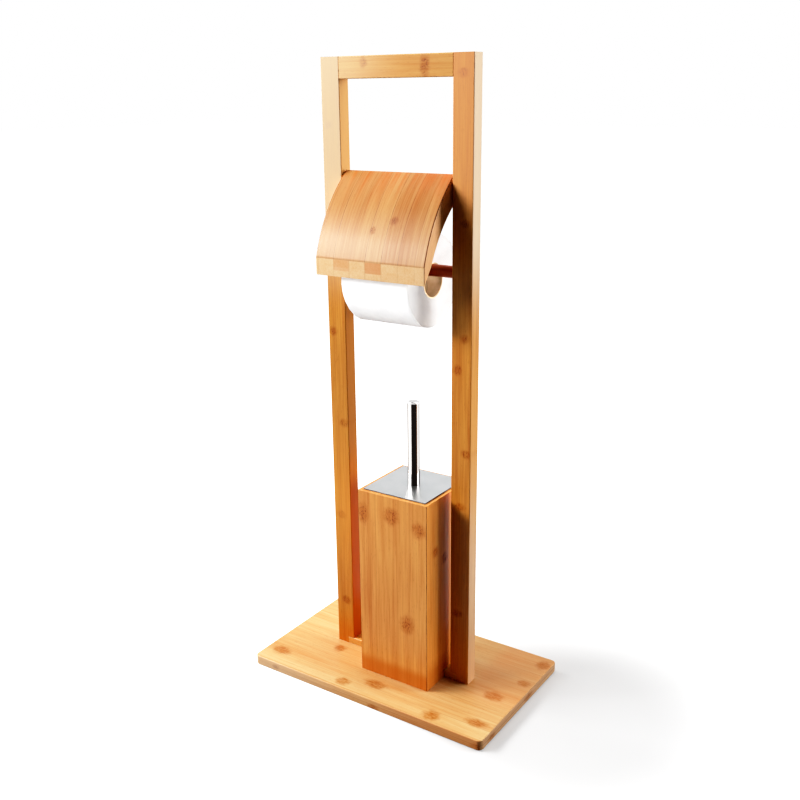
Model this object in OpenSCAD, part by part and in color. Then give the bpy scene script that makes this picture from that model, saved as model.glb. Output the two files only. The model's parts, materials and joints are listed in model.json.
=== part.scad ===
// Free-standing bamboo stand that holds a toilet roll and a toilet brush.
// Millimetres. +X is to the right, +Y to the back and +Z up.
// The origin is the middle of the footprint, on the floor.

/* [Base] */
// Width of the base board, along X
base_w = 368; // [320:1:420]
// Depth of the base board, along Y
base_d = 216; // [180:1:260]
// Thickness of the base board
base_t = 14; // [12:0.5:20]
// Radius of the base board's corners, seen from above
base_corner_r = 7; // [2:0.5:12]
// Diameter of each foam pad under the base board
pad_d = 14; // [8:1:20]
// Thickness of each foam pad
pad_t = 1.2; // [0.8:0.1:2]
// Distance from the board's edges to the middle of each pad
pad_inset = 22; // [14:1:36]

/* [Frame] */
// Height of the whole stand, from the floor
stand_h = 820; // [800:1:860]
// Width of the frame over both posts
frame_w = 217; // [206:1:230]
// Width of each post, along X
post_w = 28; // [25:0.5:30]
// Depth of each post and rail, along Y
post_d = 19; // [18:0.5:24]
// Height of the top rail
top_rail_h = 26; // [24:0.5:32]
// Height of the foot rail that lies on the base board
foot_rail_h = 10; // [8:0.5:12]
// Length of the foot rail that is let into each post
rail_let_in = 10; // [6:0.5:11]
// Bevel on the long edges of the posts and rails
arris = 0.8; // [0.4:0.1:1.5]

/* [Dowels and screws] */
// Diameter of the dowels in the top corners
dowel_d = 8; // [6:0.5:8]
// Length of each dowel
dowel_l = 32; // [28:1:40]
// Length of each dowel that sits in its post
dowel_in_post = 14; // [10:1:18]
// Distance between the two dowels of a corner
dowel_pitch = 12; // [10:0.5:14]
// Shank diameter of the screws that hold the posts
post_screw_d = 4; // [3.5:0.1:5]
// Length of the screws that hold the posts
post_screw_l = 50; // [40:1:60]
// Head diameter of the screws that hold the posts
post_screw_head_d = 8; // [7:0.1:8.6]
// Gap between the heads of the two screws of a post
post_screw_gap = 1; // [0.6:0.1:2]
// Shank diameter of the screws that hold the foot rail
rail_screw_d = 3.5; // [3:0.1:4.5]
// How far the screws that hold the foot rail reach into it
rail_screw_reach = 7.3; // [5:0.1:7.5]
// Head diameter of the screws that hold the foot rail
rail_screw_head_d = 7; // [6:0.1:9]
// Distance between the two screws of the foot rail
rail_screw_pitch = 100; // [60:1:130]

/* [Roll and rod] */
// How far the rod lies below the middle of the opening between the brush and the top rail
rod_below_middle = 25.7; // [10:0.1:60]
// Diameter of the rod between its two tenons
rod_d = 15; // [13:0.5:17]
// Diameter of the tenons at the rod's ends
rod_tenon_d = 9; // [7:0.5:11]
// Length of the tenon that sits in the right post
rod_grip = 8; // [6:0.5:10]
// Free play of the rod towards the left post, which frees its right end
rod_play = 9.5; // [7:0.5:12]
// Diameter of the paper roll
roll_d = 118; // [100:1:119]
// Width of the paper roll
roll_w = 97; // [90:1:105]
// Inner diameter of the cardboard core
core_bore_d = 41.2; // [36:0.2:45]
// Wall of the cardboard core
core_t = 1.2; // [0.8:0.1:2]

/* [Cover] */
// Gap between the cover and the post on each side
cover_side_gap = 1.5; // [1:0.1:4]
// How far the centre of the top's curve lies behind the roll's centre
cover_curve_back = 119.2; // [112:0.2:124]
// How far the centre of the top's curve lies below the roll's centre
cover_curve_drop = 25; // [18:0.5:32]
// How much larger the radius of the top's curve is than that of the underside
cover_rise = 20.2; // [18:0.1:24]
// How far the centre of the underside's curve lies in front of that of the top
under_shift_front = 12.2; // [9:0.1:15]
// How far the centre of the underside's curve lies below that of the top
under_shift_down = 18.5; // [15:0.5:21]
// How far the cover's front face stands in front of the roll
lip_overhang = 9.6; // [8:0.1:14]
// Height of the front face's lower edge above the roll's centre
lip_rise = 6; // [4:0.5:12]
// How far the bevel under the lip rises from that edge to the underside's curve
lip_bevel_h = 20; // [14:0.5:24]
// Distance from the hinge pins' axis to the curved top
pin_depth = 11; // [9:0.5:13]
// Distance from the hinge pins' axis to the cover's back end
pin_back = 8; // [6:0.5:10]
// Diameter of the hinge pins
pin_d = 6; // [4:0.5:7]
// Length of each hinge pin that is pressed into the cover
pin_in_cover = 14; // [10:0.5:20]
// Length of each hinge pin that turns in its post
pin_in_post = 8.5; // [6:0.5:11]

/* [Brush box] */
// Outer width and depth of the box
box_side = 106; // [100:1:112]
// Height of the box
box_h = 267; // [245:1:285]
// Thickness of the box's panels
box_wall = 8; // [7.5:0.5:9]
// Gap between the box and the right post
box_gap = 9.5; // [6:0.5:16]
// Thickness of the box's floor panel
floor_t = 8; // [6:0.5:10]
// Depth of the groove that holds the floor panel
groove = 3; // [2:0.5:4]
// Gap between the box's notches and the foot rail
notch_gap = 0.6; // [0.4:0.1:1]
// Wall of the plastic liner cup
liner_wall = 2; // [1.5:0.1:2.5]
// Gap between the liner cup and the box, on each side
liner_gap = 3; // [2:0.5:4]
// Radius of the liner cup's outer corners
liner_corner_r = 12; // [8:0.5:18]
// How far the liner cup's rim lies below the box's rim
liner_drop = 12; // [8:1:30]

/* [Brush] */
// How far the lid plate's edge lies inside the box's outer face
plate_margin = 5; // [3:0.5:6]
// Thickness of the lid plate
plate_t = 1.5; // [1:0.1:2.5]
// Diameter of the handle tube
handle_d = 16; // [14:0.5:20]
// Height of the handle above the lid plate, with its cap
handle_h = 114.5; // [100:0.5:125]
// Wall of the handle tube
handle_wall = 1; // [0.8:0.1:1.5]
// Height of the handle's domed cap above the tube
cap_h = 2.5; // [1.5:0.1:4]
// Depth of the cap's spigot in the tube
cap_spigot = 8; // [5:0.5:12]
// Height of the plug in the foot of the tube
plug_h = 16; // [12:0.5:24]
// Diameter of the stud that joins the handle and the stick
stud_d = 6; // [5:0.5:8]
// Length of the stud on each side of the lid plate
stud_reach = 12; // [8:0.5:14]
// Diameter of the stick under the lid plate
stick_d = 12; // [10:0.5:14]
// Diameter of the stick's top flange
flange_d = 26; // [18:1:36]
// Height of the stick's top flange
flange_h = 3; // [2:0.5:5]
// Length of the stick that sits in the brush head
stick_in_head = 24; // [15:1:40]
// Diameter of the brush head's core
head_d = 22; // [18:1:28]
// Height of the brush head's core
head_h = 78; // [60:1:90]
// Gap between the brush head and the liner cup's floor
head_gap = 6; // [3:0.5:12]
// Gap between the bristle tips and the liner cup's wall
bristle_gap = 2; // [1:0.5:6]
// Height of the bristle band on the core
bristle_h = 66; // [50:1:74]

/* [Fits] */
// Play between a turning or sliding pin and its bore, on the radius
running_fit = 0.08; // [0.04:0.01:0.1]
// Play around a glued or screwed piece in its hole, on the radius
glue_fit = 0.05; // [0.02:0.01:0.1]
// Space left beyond the end of a pin, dowel or tenon in a blind hole
end_space = 0.5; // [0.3:0.1:1]
// Gap between curved faces that rest on each other
rest_gap = 0.3; // [0.2:0.1:0.5]

/* [Hidden] */

$fn = 96;
// Length by which every cut runs past the face that it opens
overrun = 2;

// Levels and places of the frame
base_top = pad_t + base_t;
post_l = stand_h - base_top;
post_x = (frame_w - post_w) / 2;
inner_w = frame_w - 2 * post_w;
top_rail_z = stand_h - top_rail_h / 2;
foot_rail_z = base_top + foot_rail_h / 2;
foot_rail_l = inner_w + 2 * rail_let_in;
// The part of a post's foot that the foot rail leaves stands on the base board
post_foot_x = (frame_w / 2 + inner_w / 2 + rail_let_in) / 2;

// Depth of a screw head below the board's underside, and its cross recess
screw_sink = 0.3;
recess_depth = 1.4;
recess_w = 0.9;
screw_tip_share = 0.12;
post_screw_pitch = post_screw_head_d + post_screw_gap;
rail_screw_l = base_t + rail_screw_reach - screw_sink;

// Places of the brush box and what stands in it
box_x = inner_w / 2 - box_gap - box_side / 2;
box_inner = box_side - 2 * box_wall;
box_top = base_top + box_h;
floor_z = base_top + foot_rail_h + notch_gap;
floor_side = box_inner + 2 * (groove - glue_fit);
floor_top = floor_z + floor_t;
liner_side = box_inner - 2 * liner_gap;
liner_inner = liner_side - 2 * liner_wall;
liner_h = box_top - liner_drop - floor_top;
liner_floor_top = floor_top + liner_wall;

// Levels of the brush, from the lid plate down and up
plate_side = box_side - 2 * plate_margin;
plate_top = box_top + plate_t;
handle_top = plate_top + handle_h;
handle_bore_d = handle_d - 2 * handle_wall;
tube_h = handle_h - cap_h;
head_z = liner_floor_top + head_gap;
head_top = head_z + head_h;
bristle_d = liner_inner - 2 * bristle_gap;
bristle_z = head_z + (head_h - bristle_h) / 2;
head_nose_share = 0.3;
bristle_edge_share = 0.12;
bristle_crown_share = 0.2;

// Places of the roll and rod, in the opening between the handle and the top rail
rod_h = (handle_top + stand_h - top_rail_h) / 2 - rod_below_middle;
rod_bore_r = rod_tenon_d / 2 + running_fit;
rod_right = inner_w / 2 - rest_gap;
rod_left = -inner_w / 2 + rod_play + rest_gap;
roll_y = 0;
roll_z = rod_h - (core_bore_d - rod_d) / 2 + rest_gap;

// The cover's curves, in the YZ plane. The underside clears the roll by rest_gap.
cover_w = inner_w - 2 * cover_side_gap;
curve_centre = [roll_y + cover_curve_back, roll_z - cover_curve_drop];
under_centre = curve_centre - [under_shift_front, under_shift_down];
under_r = norm(under_centre - [roll_y, roll_z]) + roll_d / 2 + rest_gap;
cover_r = under_r + cover_rise;
lip_edge = [roll_y - roll_d / 2 - lip_overhang, roll_z + lip_rise];
bevel_top_z = lip_edge.y + lip_bevel_h;
bevel_top = [under_centre.x - sqrt(pow(under_r, 2) - pow(bevel_top_z - under_centre.y, 2)), bevel_top_z];
pin_r_on_curve = cover_r - pin_depth;
pin_y = 0;
pin_z = curve_centre.y + sqrt(pow(pin_r_on_curve, 2) - pow(curve_centre.x - pin_y, 2));
pin_slope = atan2(curve_centre.x - pin_y, pin_z - curve_centre.y);
cover_span = 2 * cover_r;

bamboo = "#d9a25f";
bamboo_light = "#e6bd80";
bamboo_dark = "#b9742c";
steel = "#c9cbcd";

// A board of x by y by z whose four edges along Z are bevelled, standing on its middle
module bevelled_board(x, y, z, bevel) {
    linear_extrude(height = z)
        polygon([
            [-x / 2 + bevel, -y / 2], [x / 2 - bevel, -y / 2],
            [x / 2, -y / 2 + bevel], [x / 2, y / 2 - bevel],
            [x / 2 - bevel, y / 2], [-x / 2 + bevel, y / 2],
            [-x / 2, y / 2 - bevel], [-x / 2, -y / 2 + bevel]
        ]);
}

// A flat square with round corners
module round_square(x, y, r) {
    square([x - 2 * r, y], center = true);
    square([x, y - 2 * r], center = true);
    for (sx = [-1, 1], sy = [-1, 1])
        translate([sx * (x / 2 - r), sy * (y / 2 - r)]) circle(r);
}

// A round bar of length l along X that starts at x
module bar_x(r, x, l) {
    translate([x, 0, 0]) rotate([0, 90, 0]) cylinder(r = r, h = l);
}

// A countersunk wood screw that points up, its head's face at z = 0
module screw(shank_d, head_d, l) {
    cone_h = (head_d - shank_d) / 2;
    difference() {
        rotate_extrude()
            polygon([
                [0, 0], [head_d / 2, 0], [shank_d / 2, cone_h],
                [shank_d / 2, l * (1 - screw_tip_share)], [0, l]
            ]);
        for (turn = [0, 90])
            rotate([0, 0, turn])
                translate([-shank_d / 2, -recess_w / 2, -overrun])
                    cube([shank_d, recess_w, overrun + recess_depth]);
    }
}

// The hole for such a screw, from the board's underside up
module screw_hole(shank_d, head_d, l) {
    cone_h = (head_d - shank_d) / 2;
    r = shank_d / 2 + glue_fit;
    head_r = head_d / 2 + glue_fit;
    translate([0, 0, -overrun]) cylinder(r = head_r, h = overrun + screw_sink);
    translate([0, 0, screw_sink]) cylinder(r1 = head_r, r2 = r, h = cone_h);
    cylinder(r = r, h = screw_sink + l + end_space);
}

// Places of the screws, as seen from above
module at_post_screws(side) {
    for (sy = [-1, 1])
        translate([side * post_foot_x, sy * post_screw_pitch / 2, pad_t]) children();
}

module at_rail_screws() {
    for (sx = [-1, 1])
        translate([sx * rail_screw_pitch / 2, 0, pad_t]) children();
}

// The two dowels of one top corner, each grown by fit and lengthened by space
module corner_dowels(side, fit, space) {
    for (sz = [-1, 1])
        translate([side * (inner_w / 2 + dowel_in_post - dowel_l / 2), 0, top_rail_z + sz * dowel_pitch / 2])
            bar_x(dowel_d / 2 + fit, -dowel_l / 2 - space, dowel_l + 2 * space);
}

module base_board() {
    color(bamboo_light)
        difference() {
            translate([0, 0, pad_t]) linear_extrude(height = base_t) round_square(base_w, base_d, base_corner_r);
            for (side = [-1, 1])
                at_post_screws(side) screw_hole(post_screw_d, post_screw_head_d, post_screw_l);
            at_rail_screws() screw_hole(rail_screw_d, rail_screw_head_d, rail_screw_l);
        }
}

module base_pads() {
    color("dimgray")
        for (sx = [-1, 1], sy = [-1, 1])
            translate([sx * (base_w / 2 - pad_inset), sy * (base_d / 2 - pad_inset), 0])
                cylinder(d = pad_d, h = pad_t);
}

// A post on side -1, the left, or 1, the right. Its rod bore is rod_depth deep.
module post(side, rod_depth) {
    inner_face = side * inner_w / 2;
    difference() {
        translate([side * post_x, 0, base_top]) bevelled_board(post_w, post_d, post_l, arris);
        // Rabbet for the end of the foot rail
        translate([inner_face - rail_let_in, -post_d / 2 - overrun, base_top - overrun])
            cube([2 * rail_let_in, post_d + 2 * overrun, foot_rail_h + overrun]);
        corner_dowels(side, glue_fit, end_space);
        at_post_screws(side) screw_hole(post_screw_d, post_screw_head_d, post_screw_l);
        // Blind bore that the rod's tenon slides in
        translate([inner_face, 0, rod_h])
            rotate([0, side * 90, 0])
                translate([0, 0, -overrun]) cylinder(r = rod_bore_r, h = overrun + rod_depth);
        // Blind bore that the cover's hinge pin turns in
        translate([inner_face, pin_y, pin_z])
            rotate([0, side * 90, 0])
                translate([0, 0, -overrun])
                    cylinder(r = pin_d / 2 + running_fit, h = overrun + pin_in_post + end_space);
    }
}

module left_post() {
    color(bamboo) post(-1, rod_grip + rod_play + end_space);
}

module right_post() {
    color(bamboo) post(1, rod_grip + end_space);
}

module top_rail() {
    color(bamboo)
        difference() {
            translate([-inner_w / 2, 0, top_rail_z])
                rotate([0, 90, 0]) bevelled_board(top_rail_h, post_d, inner_w, arris);
            for (side = [-1, 1]) corner_dowels(side, glue_fit, end_space);
        }
}

module foot_rail() {
    color(bamboo)
        difference() {
            translate([-foot_rail_l / 2, 0, foot_rail_z])
                rotate([0, 90, 0]) bevelled_board(foot_rail_h, post_d, foot_rail_l, arris);
            at_rail_screws() screw_hole(rail_screw_d, rail_screw_head_d, rail_screw_l);
        }
}

module top_rail_dowels() {
    color(bamboo_light)
        for (side = [-1, 1]) corner_dowels(side, 0, 0);
}

module post_screws() {
    color(steel)
        for (side = [-1, 1])
            at_post_screws(side)
                translate([0, 0, screw_sink]) screw(post_screw_d, post_screw_head_d, post_screw_l);
}

module foot_rail_screws() {
    color(steel)
        at_rail_screws()
            translate([0, 0, screw_sink]) screw(rail_screw_d, rail_screw_head_d, rail_screw_l);
}

// The cover's outline in the YZ plane: a crescent between two curves, cut off square
// behind the hinge pins and upright at the front, with a bevel that leaves the lip a sharp edge
module cover_outline() {
    difference() {
        translate(curve_centre) circle(cover_r);
        translate(under_centre) circle(under_r);
        translate([pin_y, pin_z])
            rotate(pin_slope) translate([pin_back, -cover_span]) square([cover_span, 2 * cover_span]);
        translate([lip_edge.x - cover_span, lip_edge.y - cover_span])
            square([cover_span, 2 * cover_span]);
        translate([lip_edge.x - cover_span, lip_edge.y - cover_span])
            square([2 * cover_span, cover_span]);
        polygon([lip_edge, bevel_top, [bevel_top.x, lip_edge.y - overrun], lip_edge - [0, overrun]]);
    }
}

module cover_panel() {
    color(bamboo_light)
        difference() {
            rotate([90, 0, 90]) linear_extrude(height = cover_w, center = true) cover_outline();
            for (side = [-1, 1])
                translate([side * (cover_w / 2 - pin_in_cover - end_space), pin_y, pin_z])
                    rotate([0, side * 90, 0])
                        cylinder(r = pin_d / 2 + glue_fit, h = pin_in_cover + end_space + overrun);
        }
}

module hinge_pins() {
    color(steel)
        for (side = [-1, 1])
            translate([side * (cover_w / 2 - pin_in_cover), pin_y, pin_z])
                rotate([0, side * 90, 0])
                    cylinder(d = pin_d, h = pin_in_cover + cover_side_gap + pin_in_post);
}

module roll_rod() {
    color(bamboo_dark)
        translate([0, 0, rod_h]) {
            bar_x(rod_d / 2, rod_left, rod_right - rod_left);
            bar_x(rod_tenon_d / 2, -inner_w / 2 - rod_grip, inner_w + 2 * rod_grip);
        }
}

module paper_roll() {
    color("white")
        translate([0, roll_y, roll_z])
            difference() {
                bar_x(roll_d / 2, -roll_w / 2, roll_w);
                bar_x(core_bore_d / 2 + core_t, -roll_w / 2 - overrun, roll_w + 2 * overrun);
            }
}

module cardboard_core() {
    color("#a98c6a")
        translate([0, roll_y, roll_z])
            difference() {
                bar_x(core_bore_d / 2 + core_t, -roll_w / 2, roll_w);
                bar_x(core_bore_d / 2, -roll_w / 2 - overrun, roll_w + 2 * overrun);
            }
}

// One of the box's four mitred panels, for the wall that faces -Y before it is turned.
// The groove for the floor panel runs along its inside.
module box_panel(turn, notched) {
    difference() {
        translate([box_x, 0, base_top])
            rotate([0, 0, turn])
                linear_extrude(height = box_h)
                    polygon([
                        [-box_side / 2, -box_side / 2], [box_side / 2, -box_side / 2],
                        [box_inner / 2, -box_inner / 2], [-box_inner / 2, -box_inner / 2]
                    ]);
        translate([box_x - box_inner / 2 - groove, -box_inner / 2 - groove, floor_z - glue_fit])
            cube([box_inner + 2 * groove, box_inner + 2 * groove, floor_t + 2 * glue_fit]);
        if (notched)
            translate([box_x - box_side, -post_d / 2 - notch_gap, base_top - overrun])
                cube([2 * box_side, post_d + 2 * notch_gap, overrun + foot_rail_h + notch_gap]);
    }
}

module box_front_panel() {
    color(bamboo) box_panel(0, false);
}

module box_right_panel() {
    color(bamboo) box_panel(90, true);
}

module box_back_panel() {
    color(bamboo) box_panel(180, false);
}

module box_left_panel() {
    color(bamboo) box_panel(270, true);
}

module box_floor_panel() {
    color(bamboo_light)
        translate([box_x - floor_side / 2, -floor_side / 2, floor_z])
            cube([floor_side, floor_side, floor_t]);
}

module liner_cup() {
    color("gainsboro")
        translate([box_x, 0, floor_top])
            difference() {
                linear_extrude(height = liner_h) round_square(liner_side, liner_side, liner_corner_r);
                translate([0, 0, liner_wall])
                    linear_extrude(height = liner_h)
                        round_square(liner_inner, liner_inner, liner_corner_r - liner_wall);
            }
}

module lid_plate() {
    color(steel)
        translate([box_x, 0, box_top])
            difference() {
                bevelled_board(plate_side, plate_side, plate_t, arris);
                translate([0, 0, -overrun])
                    cylinder(r = stud_d / 2 + glue_fit, h = plate_t + 2 * overrun);
            }
}

module handle_tube() {
    color(steel)
        translate([box_x, 0, plate_top])
            difference() {
                cylinder(d = handle_d, h = tube_h);
                translate([0, 0, -overrun]) cylinder(d = handle_bore_d, h = tube_h + 2 * overrun);
            }
}

// A cap with a chamfered crown, whose spigot sits in the tube
module handle_cap() {
    color(steel)
        translate([box_x, 0, plate_top + tube_h]) {
            cylinder(d = handle_d, h = cap_h / 2);
            translate([0, 0, cap_h / 2]) cylinder(d1 = handle_d, d2 = handle_d - cap_h, h = cap_h / 2);
            translate([0, 0, -cap_spigot])
                cylinder(r = handle_bore_d / 2 - glue_fit, h = cap_spigot);
        }
}

module handle_plug() {
    color(steel)
        translate([box_x, 0, plate_top])
            difference() {
                cylinder(r = handle_bore_d / 2 - glue_fit, h = plug_h);
                translate([0, 0, -overrun])
                    cylinder(r = stud_d / 2 + glue_fit, h = overrun + stud_reach + end_space);
            }
}

module plate_stud() {
    color("silver")
        translate([box_x, 0, box_top - stud_reach])
            cylinder(d = stud_d, h = plate_t + 2 * stud_reach);
}

module brush_stick() {
    color("whitesmoke")
        translate([box_x, 0, 0])
            difference() {
                union() {
                    translate([0, 0, head_top - stick_in_head])
                        cylinder(d = stick_d, h = box_top - head_top + stick_in_head);
                    translate([0, 0, box_top - flange_h]) cylinder(d = flange_d, h = flange_h);
                }
                translate([0, 0, box_top - stud_reach - end_space])
                    cylinder(r = stud_d / 2 + glue_fit, h = stud_reach + end_space + overrun);
            }
}

// The core that carries the bristles, with a tapered nose
module brush_head() {
    nose_h = head_h * head_nose_share;
    color("whitesmoke")
        translate([box_x, 0, head_z])
            difference() {
                union() {
                    cylinder(d1 = head_d * (1 - head_nose_share), d2 = head_d, h = nose_h);
                    translate([0, 0, nose_h]) cylinder(d = head_d, h = head_h - nose_h);
                }
                translate([0, 0, head_h - stick_in_head - end_space])
                    cylinder(r = stick_d / 2 + glue_fit, h = stick_in_head + end_space + overrun);
            }
}

// The band of bristles, a ring whose tips form a rounded barrel
module bristles() {
    tip = bristle_d / 2;
    edge = tip * (1 - bristle_edge_share);
    crown = bristle_h * bristle_crown_share;
    color("white")
        translate([box_x, 0, bristle_z])
            difference() {
                union() {
                    cylinder(r1 = edge, r2 = tip, h = crown);
                    translate([0, 0, crown]) cylinder(r = tip, h = bristle_h - 2 * crown);
                    translate([0, 0, bristle_h - crown]) cylinder(r1 = tip, r2 = edge, h = crown);
                }
                translate([0, 0, -overrun])
                    cylinder(r = head_d / 2 + glue_fit, h = bristle_h + 2 * overrun);
            }
}

base_board();
base_pads();
left_post();
right_post();
top_rail();
foot_rail();
top_rail_dowels();
post_screws();
foot_rail_screws();
cover_panel();
hinge_pins();
roll_rod();
paper_roll();
cardboard_core();
box_front_panel();
box_back_panel();
box_left_panel();
box_right_panel();
box_floor_panel();
liner_cup();
lid_plate();
handle_tube();
handle_cap();
handle_plug();
plate_stud();
brush_stick();
brush_head();
bristles();
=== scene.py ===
import json
import math
import random
from functools import partialmethod

import bmesh
import bpy
from mathutils import Matrix, Vector

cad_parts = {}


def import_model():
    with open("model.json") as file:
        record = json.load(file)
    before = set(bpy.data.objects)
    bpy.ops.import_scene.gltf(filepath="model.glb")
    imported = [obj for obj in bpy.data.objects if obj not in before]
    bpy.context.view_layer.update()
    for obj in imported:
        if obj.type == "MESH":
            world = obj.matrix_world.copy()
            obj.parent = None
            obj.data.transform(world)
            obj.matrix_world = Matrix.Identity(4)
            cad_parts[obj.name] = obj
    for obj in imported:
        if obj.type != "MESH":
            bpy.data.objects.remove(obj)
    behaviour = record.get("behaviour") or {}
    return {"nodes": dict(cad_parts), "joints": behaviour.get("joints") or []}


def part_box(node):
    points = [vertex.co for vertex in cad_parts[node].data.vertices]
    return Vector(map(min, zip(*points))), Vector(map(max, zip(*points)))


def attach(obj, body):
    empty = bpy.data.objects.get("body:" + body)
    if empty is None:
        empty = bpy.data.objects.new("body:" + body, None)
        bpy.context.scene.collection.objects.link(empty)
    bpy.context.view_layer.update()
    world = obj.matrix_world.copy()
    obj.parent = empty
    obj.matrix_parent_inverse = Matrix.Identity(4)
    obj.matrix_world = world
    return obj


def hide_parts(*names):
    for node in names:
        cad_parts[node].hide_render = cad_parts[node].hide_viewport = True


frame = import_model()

bpy.context.view_layer.update()

MM = 0.001

# Places that the frame gives, in metres
BASE_LO, BASE_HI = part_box("base_board")
PADS_LO, PADS_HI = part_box("base_pads")
POST_LO, POST_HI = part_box("right_post")
POST_SCREWS_LO, POST_SCREWS_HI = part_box("post_screws")
RAIL_SCREWS_LO, RAIL_SCREWS_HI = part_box("foot_rail_screws")
BOX_LO, BOX_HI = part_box("box_front_panel")
BOX_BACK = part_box("box_back_panel")[1].y
PLATE_LO, PLATE_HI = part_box("lid_plate")
TUBE_LO, TUBE_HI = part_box("handle_tube")
CAP_LO, CAP_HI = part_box("handle_cap")
ROLL_LO, ROLL_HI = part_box("paper_roll")
CORE_LO, CORE_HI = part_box("cardboard_core")
ROD_LO, ROD_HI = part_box("roll_rod")
COVER_LO, COVER_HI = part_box("cover_panel")
LINER_LO, LINER_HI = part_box("liner_cup")
HEAD_LO, HEAD_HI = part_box("brush_head")
STICK_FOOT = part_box("brush_stick")[0].z
BRISTLE_LO, BRISTLE_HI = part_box("bristles")
HINGE_Z = next(j["pos_m"][2] for j in frame["joints"] if j["name"] == "cover_hinge")

# Base board and its pads; screws are (radius of the head, radius of the shank)
BASE_CORNER_R = 7 * MM
BASE_EDGE_R = 1.4 * MM
POST_SCREW_R = (4 * MM, 2 * MM)
RAIL_SCREW_R = (3.5 * MM, 1.75 * MM)
HOLE_PLAY = 0.05 * MM
SCREW_SINK = 0.3 * MM
PAD_R = 7 * MM
PAD_BULGE = 0.5 * MM

# Cover: the two circles of its side, as (y, z, radius)
COVER_TOP = (119.2 * MM, 532.6 * MM, 195.004 * MM)
COVER_UNDER = (107 * MM, 514.1 * MM, 174.804 * MM)
COVER_PIN_BACK = 8 * MM
COVER_LIP_BEVEL = 20 * MM
COVER_STRIP = 23.4 * MM
COVER_SHIFT = 0.214
COVER_EDGE_R = 1.0 * MM
ARC_STEPS = 48
STRAIGHT = 0.999  # how much of a normal lies along its axis on a flat side

# Rod: where its two shoulders are, along X
ROD_SHOULDERS = (-70.7 * MM, 80.2 * MM)


# Shader graphs

class Graph:
    """Adds shader nodes to a tree. A value given to a node may be a number or another node's socket."""

    def __init__(self, tree):
        self.tree = tree

    def put(self, socket, value):
        if isinstance(value, bpy.types.NodeSocket):
            self.tree.links.new(value, socket)
        else:
            socket.default_value = value

    def add(self, kind, inputs=(), **settings):
        node = self.tree.nodes.new(kind)
        for key, value in settings.items():
            setattr(node, key, value)
        for key, value in dict(inputs).items():
            self.put(node.inputs[key], value)
        return node

    def calc(self, operation, *values):
        return self.add("ShaderNodeMath", enumerate(values), operation=operation).outputs[0]

    plus = partialmethod(calc, "ADD")
    minus = partialmethod(calc, "SUBTRACT")
    times = partialmethod(calc, "MULTIPLY")
    over = partialmethod(calc, "DIVIDE")
    scaled = partialmethod(calc, "MULTIPLY_ADD")  # a value times a factor, then moved by a shift

    def gap(self, a, b):
        """How far apart two values are."""
        return self.calc("ABSOLUTE", self.minus(a, b))

    def length(self, x, y):
        return self.calc("SQRT", self.plus(self.times(x, x), self.times(y, y)))

    def split(self, vector):
        return self.add("ShaderNodeSeparateXYZ", {0: vector}).outputs

    def join(self, x=0.0, y=0.0, z=0.0):
        return self.add("ShaderNodeCombineXYZ", {0: x, 1: y, 2: z}).outputs[0]

    def stretch(self, vector, scale, shift=None):
        """A vector times scale, moved by shift."""
        out = self.add("ShaderNodeVectorMath", {0: vector, 1: scale}, operation="MULTIPLY").outputs[0]
        if shift is not None:
            out = self.add("ShaderNodeVectorMath", {0: out, 1: shift}, operation="ADD").outputs[0]
        return out

    def noise(self, vector, scale=1.0, detail=2.0, roughness=0.5):
        inputs = {"Vector": vector, "Scale": scale, "Detail": detail, "Roughness": roughness}
        return self.add("ShaderNodeTexNoise", inputs, noise_dimensions="3D").outputs[0]

    def chance(self, cell):
        """A random value and a random colour for each cell."""
        return self.add("ShaderNodeTexWhiteNoise", {"Vector": cell}, noise_dimensions="3D").outputs

    def ramp(self, value, low, high, out_low=0.0, out_high=1.0, smooth=True):
        kind = "SMOOTHSTEP" if smooth else "LINEAR"
        inputs = {0: value, 1: low, 2: high, 3: out_low, 4: out_high}
        return self.add("ShaderNodeMapRange", inputs, interpolation_type=kind).outputs[0]

    def mix(self, factor, a, b, blend="MIX"):
        inputs = {0: factor, 6: a, 7: b}
        return self.add("ShaderNodeMix", inputs, data_type="RGBA", blend_type=blend).outputs[2]

    def place(self):
        return self.add("ShaderNodeTexCoord").outputs["Object"]


def srgb(*channels):
    """A colour given as the eye sees it, 0 to 255, as the shader's linear colour."""
    shares = [c / 255 for c in channels]
    return (*(c / 12.92 if c <= 0.04045 else ((c + 0.055) / 1.055) ** 2.4 for c in shares), 1.0)


def new_material(name, **numbers):
    """A material with an empty graph round its shader, whose uniform numbers are set on the shader."""
    material = bpy.data.materials.new(name)
    material.use_nodes = True
    shader = material.node_tree.nodes["Principled BSDF"]
    for key, value in numbers.items():
        label = key.replace("_", " ").title().replace("Ior", "IOR")
        shader.inputs[label].default_value = value
    return material, Graph(material.node_tree), shader


def dress(g, shader, color, roughness, height, depth, strength=1.0):
    """Gives the shader its colour, roughness and bump. depth is how deep the bump looks."""
    bump = g.add("ShaderNodeBump", {"Height": height, "Distance": depth, "Strength": strength})
    g.put(shader.inputs["Base Color"], color)
    g.put(shader.inputs["Roughness"], roughness)
    g.put(shader.inputs["Normal"], bump.outputs[0])


# Bamboo

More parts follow.
